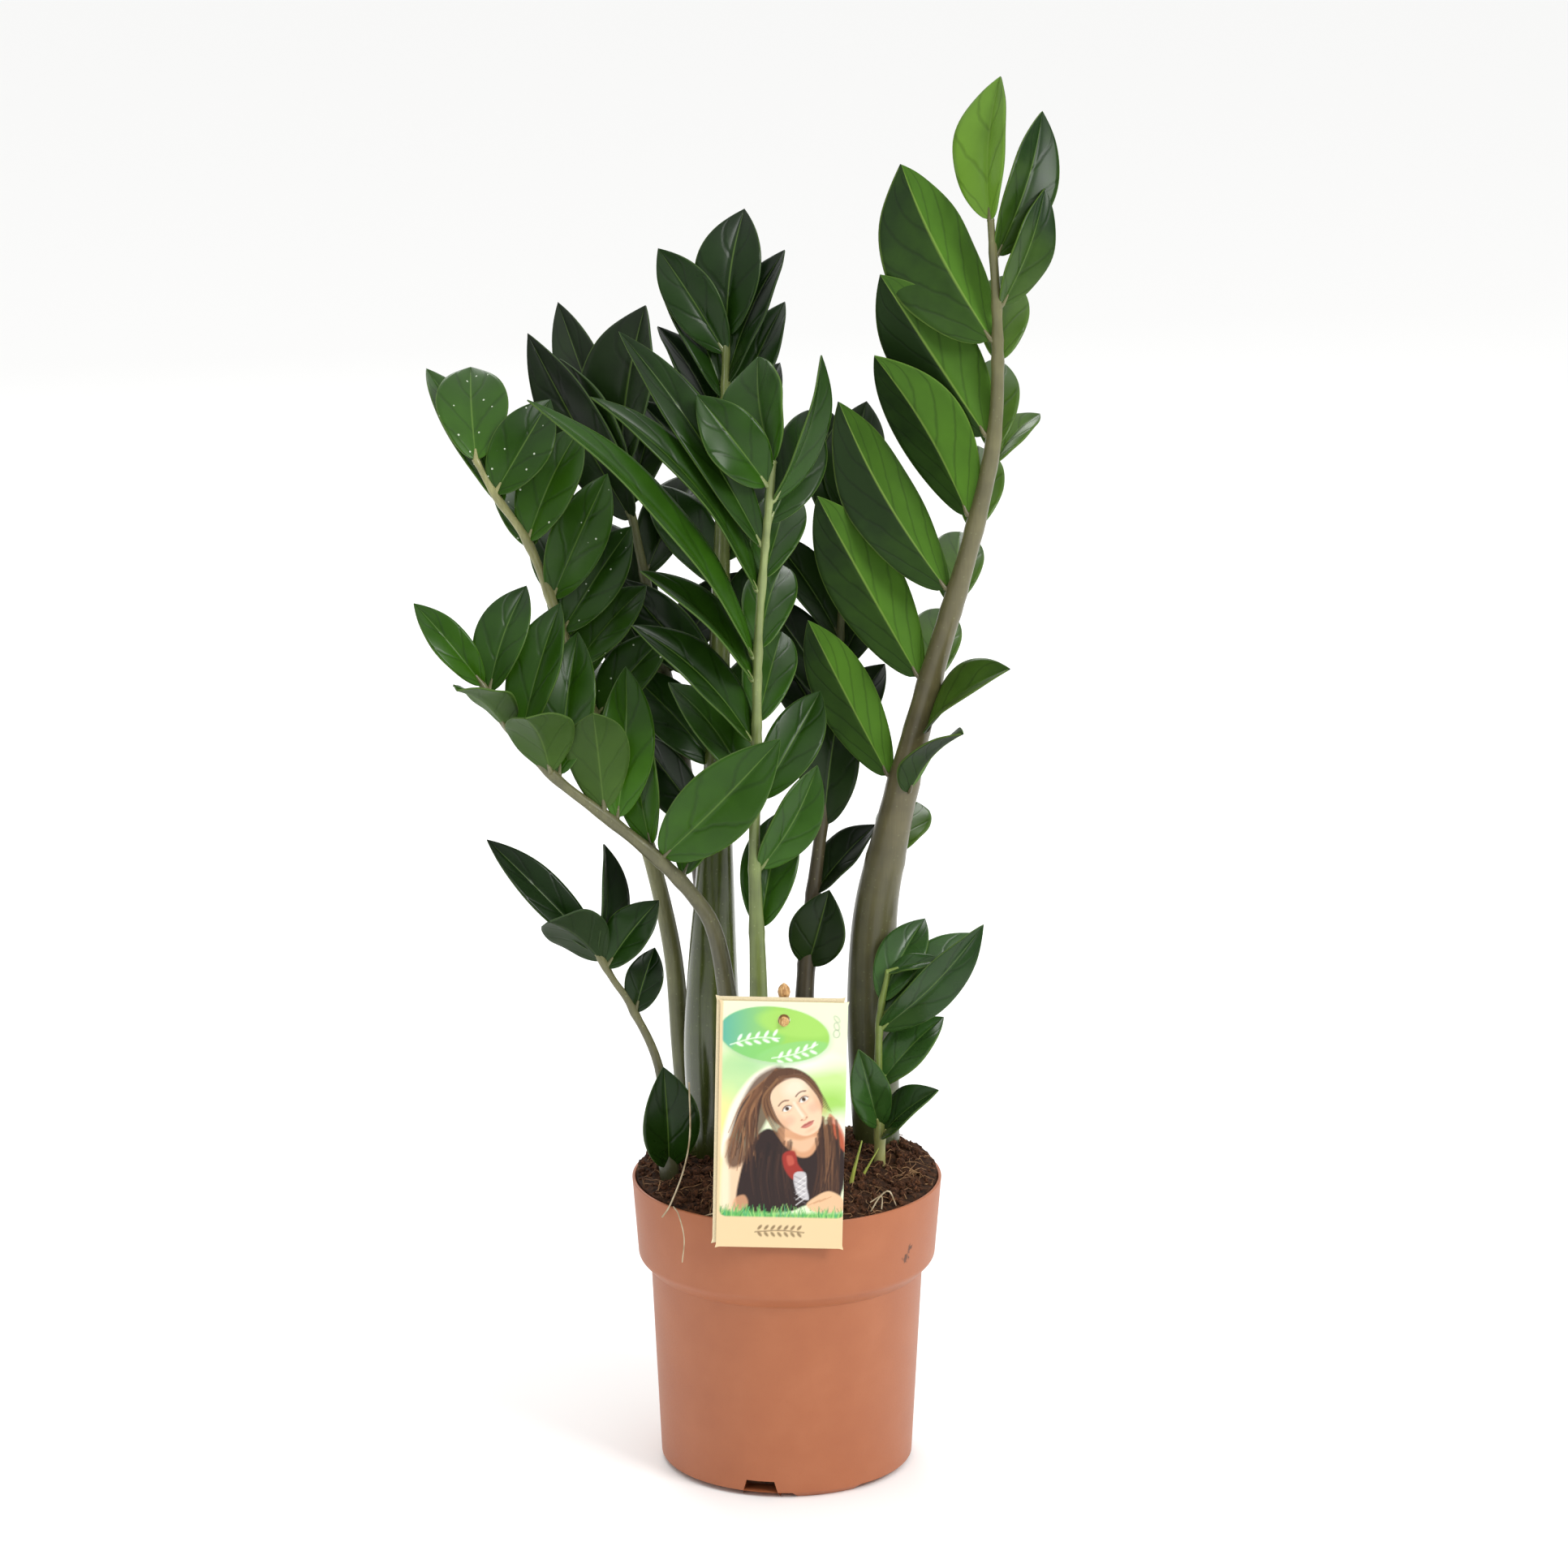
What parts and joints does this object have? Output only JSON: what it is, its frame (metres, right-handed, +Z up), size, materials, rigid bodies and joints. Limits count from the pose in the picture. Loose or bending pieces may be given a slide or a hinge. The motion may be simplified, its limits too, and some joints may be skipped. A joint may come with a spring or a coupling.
{
  "type": "potted zz plant",
  "caption": "Potted zz plant: upright arching fronds of pointed fleshy leaflets in a moulded nursery pot with soil and a hanging label on a stick",
  "frame": {"origin": "on the pot's axis, on the ground under its centre foot", "axes": "+Z up, -Y the front with the label, +X the right seen from the front"},
  "size_m": [0.3374, 0.2068, 0.7582],
  "materials": {
    "pot_plastic": "moulded terracotta-coloured polypropylene, matt with a fine grain",
    "soil": "loose dark peat and coir with fibres",
    "card": "printed coated card",
    "stick_wood": "plain birch",
    "stem": "fleshy green stem with pale rings, satin",
    "leaf": "waxy dark green leaflet, glossy above and pale matt below"
  },
  "bodies": {
    "root": {"back_tall_frond": "leaf", "front_leaflet_01": "leaf", "front_leaflet_02": "leaf", "front_leaflet_03": "leaf", "front_leaflet_04": "leaf", "front_leaflet_05": "leaf", "front_leaflet_06": "leaf", "front_leaflet_07": "leaf", "front_leaflet_08": "leaf", "front_leaflet_09": "leaf", "front_leaflet_10": "leaf", "front_leaflet_11": "leaf", "front_leaflet_12": "leaf", "front_leaflet_13": "leaf", "front_leaflet_14": "leaf", "front_leaflet_15": "leaf", "front_leaflet_16": "leaf", "front_stem": "stem", "label_back_card": "card", "label_card": "card", "label_stick": "stick_wood", "left_back_frond": "leaf", "left_high_frond": "leaf", "left_low_leaflet_01": "leaf", "left_low_leaflet_02": "leaf", "left_low_leaflet_03": "leaf", "left_low_leaflet_04": "leaf", "left_low_leaflet_05": "leaf", "left_low_leaflet_06": "leaf", "left_low_leaflet_07": "leaf", "left_low_leaflet_08": "leaf", "left_low_leaflet_09": "leaf", "left_low_leaflet_10": "leaf", "left_low_leaflet_11": "leaf", "left_low_stem": "stem", "left_small_frond": "leaf", "pot": "pot_plastic", "potting_soil": "soil", "right_back_frond": "leaf", "right_small_frond": "leaf", "right_tall_leaflet_01": "leaf", "right_tall_leaflet_02": "leaf", "right_tall_leaflet_03": "leaf", "right_tall_leaflet_04": "leaf", "right_tall_leaflet_05": "leaf", "right_tall_leaflet_06": "leaf", "right_tall_leaflet_07": "leaf", "right_tall_leaflet_08": "leaf", "right_tall_leaflet_09": "leaf", "right_tall_leaflet_10": "leaf", "right_tall_leaflet_11": "leaf", "right_tall_leaflet_12": "leaf", "right_tall_leaflet_13": "leaf", "right_tall_leaflet_14": "leaf", "right_tall_leaflet_15": "leaf", "right_tall_leaflet_16": "leaf", "right_tall_leaflet_17": "leaf", "right_tall_leaflet_18": "leaf", "right_tall_stem": "stem"}
  },
  "joints": []
}
